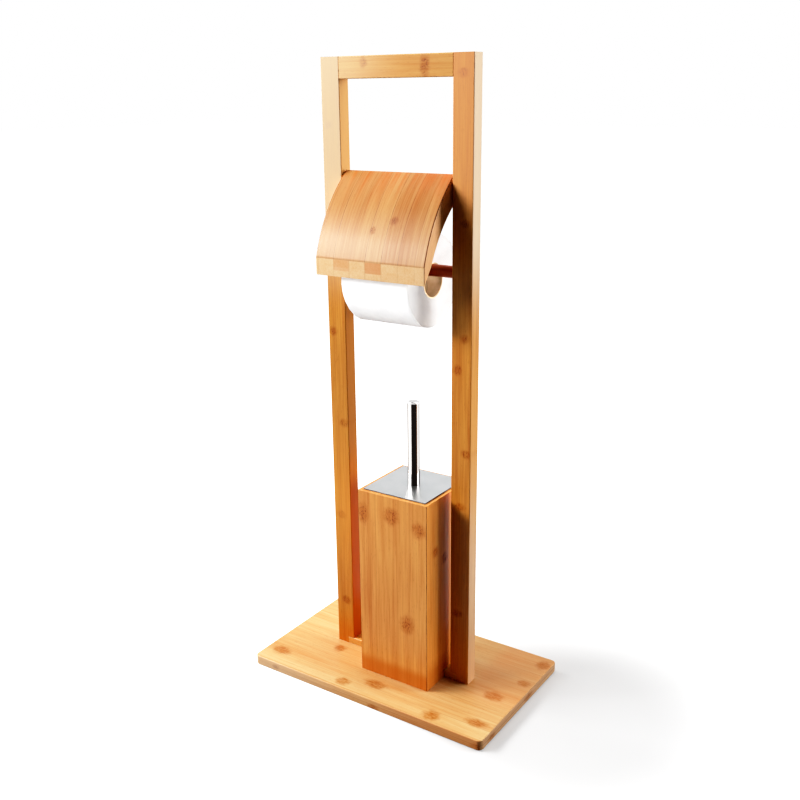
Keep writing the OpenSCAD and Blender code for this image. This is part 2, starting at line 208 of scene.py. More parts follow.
# Tones, 0 to 255 as the eye sees them: each part's lightest and darkest, then tints. Most tints paint
# light and shade on the wood (sheen, reflections, lit and shaded sides); ORANGE also gives the wood's
# own streaks, and the darkest tint gives dark lines at joints and edges
LEFT_POST_TONES = ((206, 150, 72), (162, 88, 26))
RIGHT_POST_TONES = ((220, 159, 79), (173, 93, 29))
RAIL_TONES = ((221, 175, 108), (191, 127, 60))
BASE_TONES = ((214, 183, 136), (196, 140, 83))
EDGE_TONES = ((231, 180, 124), (195, 133, 80))
SIDE_TONES = ((207, 165, 122), (174, 122, 79))
BOX_TONES = ((240, 179, 107), (192, 113, 49))
BOX_SIDE_TONES = ((252, 186, 107), (205, 118, 49))
COVER_TONES = ((199, 152, 101), (162, 96, 44))
COVER_END_TONES = ((236, 204, 164), (222, 176, 126))
COVER_SIDE_TONES = ((250, 195, 137), (228, 158, 97))
INNER_TONES = ((244, 204, 140), (220, 156, 86))
ROD_TONES = ((206, 100, 50), (155, 64, 28))
DOWEL_TONES = ((232, 206, 160), (206, 172, 122))
PALE = (246, 226, 198)
CREAM = (226, 205, 174)
ROSY = (228, 168, 126)
ORANGE = (196, 96, 28)
RUST = (186, 92, 12)
AMBER = (185, 110, 14)
HONEY = (246, 180, 88)
TERRACOTTA = (206, 126, 74)
DARK_LINE_TONE = (118, 62, 24)

# Factors that darken a tone
BLOTCH_TONE = (0.66, 0.42, 0.2, 1.0)
MARK_TONE = (0.46, 0.22, 0.08, 1.0)
SEAM_TONE = (0.42, 0.28, 0.18, 1.0)
PORE_TONE = (0.6, 0.44, 0.32, 1.0)

# Noises, as (how fine along the grain, how fine across it), per metre
FINE = (9.0, 1100.0)
FIBRES = (13.0, 380.0)
BANDS = (2.5, 75.0)
CLOUD = (6.0, 14.0)
PORES = (130.0, 1500.0)
SEAM_BREAKS = (30.0, 5.0)
SWIRL = (85.0, 130.0)
WEAR = (170.0, 700.0)

# How thick the layers of the bamboo are and how wide its seams
LAYER_T = 12 * MM
SEAM_W = 0.55 * MM

# The pattern's inputs and outputs, as (side, kind, names)
SOCKETS = (
    ("INPUT", "Vector", ("Place",)),
    ("INPUT", "Color", ("Light", "Dark")),
    ("INPUT", "Float", ("Strip", "Shift", "Seed", "Contrast", "Seams", "Mark", "Blotch", "Scratches")),
    ("OUTPUT", "Color", ("Color",)),
    ("OUTPUT", "Float", ("Roughness", "Height")),
)


def seam_share(g, given, strips, breaks):
    """A thin line where two strips meet, stronger at some seams than at others."""
    inside = g.calc("FRACT", strips)
    edge = g.times(g.calc("MINIMUM", inside, g.minus(1.0, inside)), given["Strip"])
    own = g.chance(g.join(g.calc("ROUND", strips), 3.0, given["Seed"]))["Value"]
    seam = g.ramp(edge, 0.1 * MM, SEAM_W, 1.0, 0.0)
    for share in (g.ramp(breaks, 0.35, 0.6, 0.4, 1.0), g.scaled(own, 0.7, 0.3), given["Seams"]):
        seam = g.times(seam, share)
    return seam


def mark_shares(g, given, swirl, wear):
    """Node marks: the share of their soft blotches and of the thin darker crescents in them."""
    mark, worn = given["Mark"], g.ramp(wear, 0.38, 0.62)
    crescent = g.ramp(g.gap(g.calc("FRACT", g.times(swirl, 6.0)), 0.5), 0.03, 0.17, 1.0, 0.0)
    blotch = g.times(mark, g.scaled(worn, 0.35, given["Blotch"]))
    core = g.times(g.times(mark, mark), given["Scratches"])
    return blotch, g.times(core, g.times(crescent, g.scaled(worn, 0.45, 0.35)))


def bamboo_pattern():
    """The node group that all bamboo shares: strips with seams, fibres along them and node marks."""
    tree = bpy.data.node_groups.new("bamboo_pattern", "ShaderNodeTree")
    for side, kind, names in SOCKETS:
        for name in names:
            tree.interface.new_socket(name, in_out=side, socket_type="NodeSocket" + kind)
    g = Graph(tree)
    given = g.add("NodeGroupInput").outputs
    across, depth = g.split(given["Place"])[1:]

    # Each strip, and each layer under it, has its own tone and its own fibres
    strips = g.plus(g.over(across, given["Strip"]), given["Shift"])
    layer = g.calc("FLOOR", g.over(depth, LAYER_T))
    own = g.chance(g.join(g.calc("FLOOR", strips), layer, given["Seed"]))
    own_shift = g.stretch(own["Color"], (7.0, 31.0, 31.0))

    def grain(size, shift=own_shift, detail=2.0, roughness=0.5):
        stretched = g.stretch(given["Place"], (size[0], size[1], size[1]), shift)
        return g.noise(stretched, detail=detail, roughness=roughness)

    # 0 is the light tone and 1 the dark one
    fine, fibres = grain(FINE, detail=3.0, roughness=0.6), grain(FIBRES, roughness=0.55)
    tone = g.scaled(g.minus(own["Value"], 0.5), given["Contrast"], 0.45)
    for source, amount in ((fine, 0.8), (fibres, 1.1), (grain(BANDS), 0.9), (grain(CLOUD), 0.7)):
        tone = g.scaled(g.minus(source, 0.5), amount, tone)
    tone = g.calc("MAXIMUM", g.calc("MINIMUM", tone, 1.25), -0.25)
    color = g.mix(g.ramp(tone, -0.1, 1.1, smooth=False), given["Light"], given["Dark"])

    pores = g.ramp(grain(PORES, detail=1.0), 0.64, 0.76, 0.0, 0.5)
    seam = seam_share(g, given, strips, grain(SEAM_BREAKS, None))
    blotch, scratch = mark_shares(g, given, grain(SWIRL), grain(WEAR, None))
    for share, darker in ((pores, PORE_TONE), (seam, SEAM_TONE), (blotch, BLOTCH_TONE),
                          (scratch, MARK_TONE)):
        color = g.mix(share, color, darker, "MULTIPLY")

    roughness = g.scaled(given["Mark"], 0.08, g.scaled(fibres, 0.18, 0.3))
    height = g.times(fibres, 0.45)
    for source, amount in ((fine, 0.3), (seam, -0.7), (scratch, -0.5)):
        height = g.scaled(source, amount, height)
    g.add("NodeGroupOutput", {"Color": color, "Roughness": roughness, "Height": height})
    return tree


PATTERN = bamboo_pattern()


def node_marks(g, along, across, marks, full):
    """0 to 1 inside any of the marks, each given as (along, across, length, width) in mm. full is
    the share of a mark's reach up to which it is at its strongest."""
    if not marks:
        return 0.0
    wobble = g.noise(g.join(along, across), scale=130.0)
    total = 0.0
    for mark_along, mark_across, length, width in marks:
        da = g.over(g.minus(along, mark_along * MM), length / 2 * MM)
        dc = g.over(g.minus(across, mark_across * MM), width / 2 * MM)
        reach = g.scaled(wobble, 0.8, g.minus(g.length(da, dc), 0.5))
        total = g.calc("MAXIMUM", total, g.ramp(reach, full, 1.15, 1.0, 0.0))
    return total


def bamboo(name, grain, tones, strip, shift, seed, contrast, seams=0.8, marks=(), full=0.25,
           blotch=0.5, scratches=1.0, turn=None, tints=(), coat=0.12):
    """Lacquered bamboo. grain is a string such as "zxy": the axes along the grain, across the
    strips and through the board. turn is a circle, as (y, z, radius), along which the grain bends.
    Each of tints is a function that gives a share and the colour that it turns to."""
    material, g, shader = new_material(name, coat_weight=coat, coat_roughness=0.18,
                                       specular_ior_level=0.2)
    xyz = dict(zip("xyz", g.split(g.place())))
    if turn:
        middle_y, middle_z, radius = turn
        back, rise = g.minus(middle_y, xyz["y"]), g.minus(xyz["z"], middle_z)
        along = g.times(g.calc("ARCTAN2", rise, back), radius)
        across, depth = xyz["x"], g.minus(radius, g.length(back, rise))
    else:
        along, across, depth = (xyz[axis] for axis in grain)
    values = {"Place": g.join(along, across, depth), "Light": srgb(*tones[0]), "Dark": srgb(*tones[1]),
              "Strip": strip, "Shift": shift, "Seed": seed, "Contrast": contrast,
              "Seams": seams, "Mark": node_marks(g, along, across, marks, full), "Blotch": blotch,
              "Scratches": scratches}
    color, roughness, height = g.add("ShaderNodeGroup", values, node_tree=PATTERN).outputs
    for tint in tints:
        share, tone = tint(g, xyz)
        color = g.mix(share, color, srgb(*tone))
    dress(g, shader, color, roughness, height, 0.12 * MM)
    return material


def fade(axis, low, high, strongest, tone):
    """A slow change towards a tone along an axis, from low to high in mm."""
    def tint(g, xyz):
        return g.ramp(xyz[axis], low * MM, high * MM, 0.0, strongest), tone
    return tint


def hump(axis, low, high, strongest, tone):
    """A tone that is strongest halfway between two places along an axis, given in mm."""
    def tint(g, xyz):
        middle = (low + high) / 2 * MM
        up = g.ramp(xyz[axis], low * MM, middle, 0.0, strongest)
        down = g.ramp(xyz[axis], middle, high * MM, 1.0, 0.0)
        return g.times(up, down), tone
    return tint


def on_right_face(at, *inner_tints):
    """The same tints, each kept to the right-hand face of a post, which lies at x = at."""
    def kept(inner):
        def tint(g, xyz):
            share, tone = inner(g, xyz)
            return g.times(g.ramp(xyz["x"], at - 0.6 * MM, at - 0.3 * MM), share), tone
        return tint
    return [kept(inner) for inner in inner_tints]


def quarter(x_low, x_high, y_low, y_high, strongest, tone):
    """A tone that grows towards +X and +Y, between the given places in mm."""
    def tint(g, xyz):
        right = g.ramp(xyz["x"], x_low * MM, x_high * MM, 0.0, strongest)
        return g.times(right, g.ramp(xyz["y"], y_low * MM, y_high * MM)), tone
    return tint


def streaks(axis, low, high, strongest, tone, stretch):
    """Uneven streaks of a tone that grow stronger along an axis, from low to high in mm."""
    def tint(g, xyz):
        ragged = g.ramp(g.noise(g.stretch(g.place(), stretch), detail=3.0), 0.35, 0.7)
        grown = g.ramp(xyz[axis], low * MM, high * MM, 0.0, strongest)
        return g.times(ragged, grown), tone
    return tint


def corner_line(x, y, width, strongest=0.85):
    """A dark upright line along the box's corner at x, y."""
    def tint(g, xyz):
        away = g.plus(g.gap(xyz["x"], x), g.gap(xyz["y"], y))
        ragged = g.noise(g.join(0.0, 0.0, g.times(xyz["z"], 60.0)))
        reach = g.plus(away, g.times(ragged, width * 0.6))
        return g.ramp(reach, width * 0.5, width, strongest, 0.0), DARK_LINE_TONE
    return tint


def edge_line(axis, at, width, strongest):
    """A dark line where a coordinate, its sign left out, is near a place."""
    def tint(g, xyz):
        away = g.gap(g.calc("ABSOLUTE", xyz[axis]), at)
        return g.ramp(away, width * 0.5, width, strongest, 0.0), DARK_LINE_TONE
    return tint


def block(x_low, x_high, z_low, z_high, strongest, tone, soft=0.4):
    """An upright rectangle of a tone, in mm, with slightly soft sides."""
    def tint(g, xyz):
        share = strongest
        for axis, side, before in (("x", x_low, 0.0), ("x", x_high, 1.0),
                                   ("z", z_low, 0.0), ("z", z_high, 1.0)):
            ends = (side - soft) * MM, (side + soft) * MM
            share = g.times(g.ramp(xyz[axis], *ends, before, 1.0 - before), share)
        return share, tone
    return tint


# Other materials

def painted(name, color, second, scale, roughness, depth, **numbers):
    """A plain material that varies softly in tone and roughness, finely uneven."""
    material, g, shader = new_material(name, **numbers)
    place = g.place()
    large = g.noise(place, scale=scale, detail=3.0)
    small = g.noise(place, scale=scale * 12, detail=3.0)
    tone = g.mix(g.ramp(large, 0.35, 0.65), srgb(*color), srgb(*second))
    dress(g, shader, tone, g.scaled(small, 0.2, roughness - 0.1), small, depth)
    return material


def brushed_steel(name, color, second, roughness, stretch, uneven=0.16, **numbers):
    """Steel with fine brush lines along the axis of the smallest number in stretch."""
    material, g, shader = new_material(name, metallic=1.0, **numbers)
    place = g.place()
    lines = g.noise(g.stretch(place, stretch), detail=4.0, roughness=0.7)
    smear = g.noise(place, scale=35.0, detail=3.0)
    tone = g.mix(g.ramp(smear, 0.3, 0.7), srgb(*color), srgb(*second))
    rough = g.scaled(smear, uneven / 3, g.scaled(lines, uneven, roughness - uneven / 2))
    dress(g, shader, tone, rough, lines, 0.02 * MM, 0.5)
    return material


def tissue_paper():
    """White tissue, with thin wound layers at the roll's ends."""
    material, g, shader = new_material("tissue", sheen_weight=0.2, specular_ior_level=0.2)
    place = g.place()
    x, y, z = g.split(place)
    centre = (ROLL_LO + ROLL_HI) / 2
    reach = g.length(g.minus(y, centre.y), g.minus(z, centre.z))
    layers = g.calc("SINE", g.times(reach, 2 * math.pi / (0.55 * MM)))
    uneven = g.noise(g.join(g.times(reach, 900.0), x))
    layers = g.scaled(layers, 0.3, uneven)
    at_end = g.ramp(g.calc("ABSOLUTE", x), ROLL_HI.x - 1.2 * MM, ROLL_HI.x - 0.4 * MM)
    fibres = g.noise(place, scale=900.0, detail=4.0, roughness=0.7)
    clouds = g.noise(place, scale=55.0)
    color = g.mix(g.ramp(clouds, 0.3, 0.7), srgb(248, 248, 248), srgb(238, 238, 239))
    shade = g.times(at_end, g.ramp(layers, 0.1, 0.9, 0.25, 0.0))
    color = g.mix(shade, color, srgb(196, 190, 180))
    height = g.scaled(g.times(at_end, layers), 1.5, fibres)
    dress(g, shader, color, g.scaled(fibres, 0.1, 0.85), height, 0.12 * MM)
    return material


def kraft_cardboard():
    """Brown cardboard wound in a slanting seam."""
    material, g, shader = new_material("kraft_cardboard", specular_ior_level=0.25)
    place = g.place()
    x, y, z = g.split(place)
    turn = g.calc("ARCTAN2", g.minus(z, (CORE_LO.z + CORE_HI.z) / 2), y)
    winding = g.calc("FRACT", g.plus(g.over(x, 48 * MM), g.over(turn, 2 * math.pi)))
    seam = g.ramp(g.gap(winding, 0.5), 0.008, 0.02, 1.0, 0.0)
    flecks = g.noise(place, scale=700.0, detail=4.0, roughness=0.7)
    clouds = g.noise(place, scale=90.0, detail=3.0)
    color = g.mix(g.ramp(clouds, 0.3, 0.7), srgb(216, 190, 156), srgb(192, 162, 128))
    color = g.mix(g.ramp(flecks, 0.6, 0.75, 0.0, 0.4), color, srgb(120, 90, 62))
    color = g.mix(g.times(seam, 0.5), color, srgb(110, 80, 56))
    dress(g, shader, color, g.scaled(flecks, 0.15, 0.8), g.minus(flecks, seam), 0.1 * MM)
    return material


BOX_LINES = [corner_line(BOX_HI.x, BOX_LO.y, 1.3 * MM), corner_line(BOX_LO.x, BOX_LO.y, 0.7 * MM, 0.5),
             *(corner_line(x, BOX_BACK, 0.9 * MM) for x in (BOX_LO.x, BOX_HI.x))]

# Left post tints, all painted light: a brighter honey middle and a pale cream top where the lamps'
# sheen falls, the orange reflection of the base board at the foot, and on the inner face a lit honey
# upper part over a shaded amber lower part
LEFT_POST = bamboo(
    "bamboo_left_post", "zxy", LEFT_POST_TONES, 30 * MM, 3.63, 11.0, 0.3, 0.4,
    marks=[(740, -99, 13, 16), (606, -90, 12, 18), (478, -101, 14, 14), (352, -88, 13, 17),
           (216, -98, 13, 18), (84, -92, 14, 17)], coat=0.05,
    tints=[hump("z", 60, 420, 0.3, HONEY), fade("z", 500, 640, 0.7, CREAM),
           fade("z", 75, 30, 0.5, RUST),
           *on_right_face(-POST_LO.x, fade("z", 500, 640, 0.65, HONEY),
                          fade("z", 640, 480, 0.75, AMBER))])
# Right post tints, all painted light: a rosy sheen at the top of the front, and a pale lit look on the
# outer face, less pale in a honey middle
RIGHT_POST = bamboo(
    "bamboo_right_post", "zxy", RIGHT_POST_TONES, 30 * MM, 0.37, 23.0, 0.3, 0.4,
    marks=[(798, 94, 12, 18), (630, 98, 12, 16), (492, 99, 13, 14), (452, 89, 16, 13),
           (344, 102, 13, 16), (271, 94, 14, 18), (118, 91, 13, 17)], coat=0.05,
    tints=[fade("z", 600, 690, 0.42, ROSY),
           *on_right_face(POST_HI.x, fade("z", 470, 620, 0.75, PALE),
                          fade("z", 400, 180, 0.4, PALE), hump("z", 150, 620, 0.5, HONEY))])
# Painted light: the top rail turns paler towards its left end, where the light washes it out
TOP_RAIL = bamboo(
    "bamboo_top_rail", "xzy", RAIL_TONES, 33 * MM, 0.2, 5.0, 0.3, 0.3,
    marks=[(43, 807, 15, 34), (-44, 812, 12, 14)], tints=[fade("x", 20, -80, 0.35, CREAM)])
FOOT_RAIL = bamboo(
    "bamboo_foot_rail", "xyz", RAIL_TONES, 26 * MM, 0.5, 8.0, 0.3, 0.4, marks=[(-60, 0, 12, 14)])
# The terracotta corner right of the right post is partly painted shadow of the posts and partly a
# darker strip of the board
BASE = bamboo(
    "bamboo_base", "xyz", BASE_TONES, 21 * MM, 0.0, 31.0, 0.45, 0.35,
    marks=[(-159, -78, 34, 20), (-92, -29, 20, 18), (-38, -94, 24, 18), (3, -76, 38, 20),
           (103, -94, 26, 24), (161, -77, 34, 18), (151, -14, 32, 22), (171, 34, 20, 16),
           (173, 88, 20, 24), (-70, 62, 24, 20), (64, 52, 24, 20), (-10, 90, 24, 20)],
    full=0.3, blotch=0.62, scratches=0.3, tints=[quarter(92, 124, -46, -12, 0.3, TERRACOTTA)])
# Painted light: the front edge is paler towards the left, nearer the lamps, and more orange towards the
# right
BASE_EDGE = bamboo(
    "bamboo_base_edge", "xzy", EDGE_TONES, 7 * MM, 0.83, 37.0, 0.5, 0.9,
    marks=[(-145, 8, 14, 9), (22, 5, 20, 9), (178, 6, 20, 12)],
    tints=[fade("x", 0, -150, 0.3, PALE), fade("x", 0, 90, 0.25, ORANGE)])
BASE_SIDE = bamboo(
    "bamboo_base_side", "yzx", SIDE_TONES, 7 * MM, 0.83, 39.0, 0.5, 0.9,
    marks=[(20, 8, 26, 9), (-80, 7, 20, 9)])
# Cover tints: the paler lip is painted sheen; the orange streaks near the hinge are the wood's own, and
# a dark line runs along the right edge
COVER = bamboo(
    "bamboo_cover", "zxy", COVER_TONES, COVER_STRIP, COVER_SHIFT, 47.0, 0.75, 0.9,
    coat=0.06, marks=[(106, 24, 13, 14), (92, -2, 12, 10)], turn=COVER_TOP,
    tints=[streaks("y", -46, 4, 0.7, ORANGE, (85.0, 5.0, 5.0)), fade("y", -34, -68, 0.15, PALE),
           edge_line("x", COVER_HI.x, 1.5 * MM, 0.8)])
COVER_END = bamboo(
    "bamboo_cover_end", "yxz", COVER_END_TONES, COVER_STRIP, COVER_SHIFT, 51.0, 0.3, 0.5,
    tints=[block(-52, -28.5, 572, 586, 0.22, ORANGE), block(-5, 18, 572, 586, 0.4, ORANGE)])
COVER_SIDE = bamboo(
    "bamboo_cover_side", "zyx", COVER_SIDE_TONES, 6 * MM, 0.3, 53.0, 0.3, 0.2, turn=COVER_TOP)
# Painted reflection: the rust band at the foot of the front stands for the base board mirrored in the
# lacquer and its warm bounce light
BOX_FRONT = bamboo(
    "bamboo_box_front", "zxy", BOX_TONES, 53 * MM, 0.15, 61.0, 0.2, 0.25,
    marks=[(251, -27, 32, 18), (256, 17, 26, 26), (246, 60, 24, 24), (106, 40, 30, 24)],
    tints=[fade("z", 46, 30, 0.62, RUST), *BOX_LINES])
BOX_BACK_WOOD = bamboo(
    "bamboo_box_back", "zxy", BOX_TONES, 53 * MM, 0.1, 67.0, 0.2, 0.25,
    marks=[(220, -20, 18, 20), (140, 32, 18, 20), (60, 58, 16, 18)], tints=BOX_LINES)
# Painted reflection: the rust band at the foot of the sides stands for the base board mirrored in the
# lacquer and its warm bounce light
BOX_SIDE = bamboo(
    "bamboo_box_side", "zyx", BOX_SIDE_TONES, 53 * MM, 0.45, 71.0, 0.2, 0.25,
    marks=[(211, -32, 18, 15), (194, -9, 20, 16), (120, 30, 18, 18)],
    tints=[fade("z", 60, 30, 0.5, RUST), *BOX_LINES])
INNER_BOARD = bamboo("bamboo_inner", "xyz", INNER_TONES, 24 * MM, 0.2, 83.0, 0.5)
ROD = bamboo(
    "bamboo_rod", "xyz", ROD_TONES, 40 * MM, 0.5, 91.0, 0.3, 0.3,
    marks=[(-30, 0, 9, 20), (66, 4, 8, 16)])
DOWEL = bamboo("birch_dowel", "xyz", DOWEL_TONES, 30 * MM, 0.5, 97.0, 0.2, 0.2, coat=0.0)
TISSUE = tissue_paper()
CARDBOARD = kraft_cardboard()
PLATE_STEEL = brushed_steel(
    "satin_plate", (195, 196, 197), (188, 190, 191), 0.3, (60.0, 2600.0, 2600.0), 0.1)
# Painted reflection: the plate's side faces get a darker copy of its steel, standing for the dark wood
# that they reflect
PLATE_EDGE_PAINTED_DARK = brushed_steel(
    "plate_edge_painted_dark", (120, 120, 120), (96, 96, 97), 0.4, (2600.0, 2600.0, 60.0), 0.1)
HANDLE_STEEL = brushed_steel(
    "polished_handle", (190, 187, 184), (182, 179, 177), 0.08, (900.0, 900.0, 40.0), 0.05,
    specular_tint=(0.2, 0.19, 0.18, 1))
CAP_STEEL = brushed_steel(
    "satin_cap", (206, 206, 206), (190, 190, 191), 0.3, (900.0, 900.0, 40.0), 0.1)
SCREW_STEEL = brushed_steel(
    "zinc_screw", (196, 198, 202), (170, 173, 178), 0.34, (800.0, 800.0, 800.0))
WHITE_PLASTIC = painted(
    "white_plastic", (238, 238, 236), (228, 228, 226), 40.0, 0.4, 0.03 * MM, coat_weight=0.1)
NYLON = painted("nylon_strands", (244, 244, 242), (230, 231, 230), 160.0, 0.42, 0.02 * MM)
FOAM = painted("black_foam", (52, 52, 54), (38, 38, 40), 300.0, 0.9, 0.3 * MM)


# Meshes

def add_object(name, data):
    """A new object in the scene that shows a mesh, a camera or a lamp."""
    made = bpy.data.objects.new(name, data)
    bpy.context.scene.collection.objects.link(made)
    return made


def mesh_object(name, bm, materials):
    """An object of the finished mesh in the scene."""
    mesh = bpy.data.meshes.new(name)
    bm.to_mesh(mesh)
    bm.free()
    for material in materials:
        mesh.materials.append(material)
    return add_object(name, mesh)


def flat_faces(piece, keep_sharp=True):
    """Keeps large faces flat in the light beside small rounded edges."""
    normals = piece.modifiers.new("normals", "WEIGHTED_NORMAL")
    normals.keep_sharp = keep_sharp


def face_outward(bm):
    bmesh.ops.recalc_face_normals(bm, faces=bm.faces)


def make_piece(name, bm, materials, body, node, smooth=35):
    """Makes a mesh a piece that rides on a body and stands for a CAD node."""
    face_outward(bm)
    piece = mesh_object(name, bm, materials)
    piece.data.shade_smooth()
    piece.data.set_sharp_from_angle(angle=math.radians(smooth))
    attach(piece, body)
    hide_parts(node)
    return piece


def spread(first, last, steps):
    """Evenly spaced values, first and last included."""
    return [first + (last - first) * k / steps for k in range(steps + 1)]


def add_ring(bm, points):
    return [bm.verts.new(p) for p in points]


def bridge(bm, rings, capped=True):
    """Faces between each closed ring and the next, which it returns, and over both ends."""
    faces = []
    for low, high in zip(rings, rings[1:]):
        for i, corner in enumerate(low):
            j = (i + 1) % len(low)
            faces.append(bm.faces.new((corner, low[j], high[j], high[i])))
    if capped:
        bm.faces.new(reversed(rings[0]))
        bm.faces.new(rings[-1])
    return faces


def round_rectangle(half_x, half_y, radius, steps):
    """The outline of a rectangle with round corners, about the origin."""
    points = []
    for corner, (sx, sy) in enumerate(((1, 1), (-1, 1), (-1, -1), (1, -1))):
        for step in range(steps + 1):
            angle = math.pi / 2 * (corner + step / steps)
            points.append((sx * (half_x - radius) + radius * math.cos(angle),
                           sy * (half_y - radius) + radius * math.sin(angle)))
    return points


def soft_edge(radius, steps):
    """(inset, drop) pairs of a round edge, from its wall to its flat face."""
    for angle in spread(0, math.pi / 2, steps):
        yield radius * (1 - math.cos(angle)), radius * (1 - math.sin(angle))


def stack(bm, low, high, levels, corner, steps):
    """Rings of a round-cornered block at each (inset, height) of levels."""
    centre, half = (low + high) / 2, (high - low) / 2
    rings = []
    for inset, z in levels:
        outline = round_rectangle(half.x - inset, half.y - inset, corner - inset, steps)
        rings.append(add_ring(bm, [(centre.x + x, centre.y + y, z) for x, y in outline]))
    return rings


def soft_levels(low, high, radius, steps):
    """(inset, height) of a block whose lower and upper edges are rounded."""
    edge = [*soft_edge(radius, steps)]
    lower = [(inset, low + drop) for inset, drop in edge[::-1]]
    return lower + [(inset, high - drop) for inset, drop in edge]


def lathe(bm, profile, segments, centre, axis="z"):
    """Turns a (radius, height) profile about an axis through centre."""
    rings = []
    for radius, height in profile:
        ring = []
        for angle in spread(0, 2 * math.pi, segments)[:-1]:
            u, v = radius * math.cos(angle), radius * math.sin(angle)
            offset = Vector((u, v, height)) if axis == "z" else Vector((height, u, v))
            ring.append(centre + offset)
        rings.append(add_ring(bm, ring))
    return rings


def screw_places(low, high, head_r, rows):
    """Middles of the screws at both ends of a node's box, in rows from -1 to 1 across it."""
    for x in (low.x + head_r, high.x - head_r):
        for row in rows:
            yield x, (low.y + high.y) / 2 + row * ((high.y - low.y) / 2 - head_r)


def screw_holes():
    """Cutters for the countersunk holes, from below the board up through it."""
    bm = bmesh.new()
    sets = ((POST_SCREWS_LO, POST_SCREWS_HI, POST_SCREW_R, (-1, 1)),
            (RAIL_SCREWS_LO, RAIL_SCREWS_HI, RAIL_SCREW_R, (0,)))
    below, above = BASE_LO.z - 2 * MM, BASE_HI.z + 2 * MM
    sunk = BASE_LO.z + SCREW_SINK
    for low, high, (head_r, shank_r), rows in sets:
        profile = [(head_r + HOLE_PLAY, below), (head_r + HOLE_PLAY, sunk),
                   (shank_r + HOLE_PLAY, sunk + head_r - shank_r), (shank_r + HOLE_PLAY, above)]
        for x, y in screw_places(low, high, head_r, rows):
            bridge(bm, lathe(bm, profile, 32, Vector((x, y, 0))))
    face_outward(bm)
    return mesh_object("screw_hole_cutters", bm, [BASE])


def cut_away(piece, cutter):
    """Takes the cutter's shape out of the piece's mesh and deletes the cutter."""
    modifier = piece.modifiers.new("holes", "BOOLEAN")
    modifier.object = cutter
    modifier.solver = "EXACT"
    graph = bpy.context.evaluated_depsgraph_get()
    cut = bpy.data.meshes.new_from_object(piece.evaluated_get(graph))
    piece.modifiers.remove(modifier)
    cut.set_sharp_from_angle(angle=math.radians(35))
    piece.data = cut
    bpy.data.objects.remove(cutter)


def base_board():
    """The base board with round corners, softened edges and screw holes."""
    bm = bmesh.new()
    levels = soft_levels(BASE_LO.z, BASE_HI.z, BASE_EDGE_R, 4)
    bridge(bm, stack(bm, BASE_LO, BASE_HI, levels, BASE_CORNER_R, 8))
    face_outward(bm)
    for face in bm.faces:
        if abs(face.normal.z) < 0.7:
            face.material_index = 1 if abs(face.normal.y) > abs(face.normal.x) else 2
    materials = [BASE, BASE_EDGE, BASE_SIDE]
    piece = make_piece("base_board_soft", bm, materials, "stand", "base_board")
    cut_away(piece, screw_holes())
    flat_faces(piece)


def base_pads():
    """Round foam pads with a bulging side, one near each corner of the board."""
    bm = bmesh.new()
    centre, thick = (PADS_LO + PADS_HI) / 2, PADS_HI.z - PADS_LO.z
    reach = (PADS_HI - PADS_LO) / 2 - Vector((PAD_R, PAD_R, 0))
    profile = [(PAD_R - PAD_BULGE * (1 - math.sin(math.pi * k / 6)), PADS_LO.z + thick * k / 6)
               for k in range(7)]
    for sx in (-1, 1):
        for sy in (-1, 1):
            middle = Vector((centre.x + sx * reach.x, centre.y + sy * reach.y, 0))
            bridge(bm, lathe(bm, profile, 48, middle))
    piece = make_piece("base_pads_foam", bm, [FOAM], "stand", "base_pads", smooth=60)


def cover_outline():
    """The cover's side in the YZ plane: lip, top, back end, underside and bevel."""
    # The back end is a straight cut, square to the top, COVER_PIN_BACK behind the pins
    slope = math.atan2(COVER_TOP[0], HINGE_Z - COVER_TOP[1])
    cut = Vector((math.cos(slope), math.sin(slope)))
    cut_at = Vector((0, HINGE_Z)).dot(cut) + COVER_PIN_BACK

    def arc(circle, start, end):
        y, z, radius = circle
        for angle in spread(start, end, ARC_STEPS):
            yield Vector((y - radius * math.cos(angle), z + radius * math.sin(angle)))

    def meets_cut(circle):
        # The angle at which the circle crosses the cut's line, on its upper side
        ahead = cut_at - Vector(circle[:2]).dot(cut)
        return math.pi - slope - math.acos(ahead / circle[2])

    top_start = math.acos((COVER_TOP[0] - COVER_LO.y) / COVER_TOP[2])
    under_end = math.asin((COVER_LO.z + COVER_LIP_BEVEL - COVER_UNDER[1]) / COVER_UNDER[2])
    return [Vector((COVER_LO.y, COVER_LO.z)), *arc(COVER_TOP, top_start, meets_cut(COVER_TOP)),
            *arc(COVER_UNDER, meets_cut(COVER_UNDER), under_end)]


def cover_panel():
    """The curved cover: the outline drawn across, with softened arrises."""
    bm = bmesh.new()
    outline = cover_outline()
    bridge(bm, [add_ring(bm, [(x, p.x, p.y) for p in outline]) for x in (COVER_LO.x, COVER_HI.x)])
    face_outward(bm)
    for face in bm.faces:
        if face.normal.y < -STRAIGHT:
            face.material_index = 1
        elif abs(face.normal.x) > STRAIGHT:
            face.material_index = 2
    sides = [e for e in bm.edges if abs(e.verts[0].co.x - e.verts[1].co.x) < 1e-6]
    corners = [e for e in bm.edges if e not in sides and e.calc_face_angle(0) > math.radians(25)]
    bmesh.ops.bevel(bm, geom=sides + corners, offset=COVER_EDGE_R, segments=3, profile=0.5,
                    affect="EDGES", material=-1)
    materials = [COVER, COVER_END, COVER_SIDE]
    piece = make_piece("cover_panel_soft", bm, materials, "cover", "cover_panel")
    flat_faces(piece)


def roll_waves(seed, count):
    """Random slow swells of the roll: (height, swells round it, where they start)."""
    rng = random.Random(seed)
    return [(rng.uniform(0.1, 0.25) * MM, rng.randint(2, 7), rng.uniform(0, 2 * math.pi))
            for _ in range(count)]


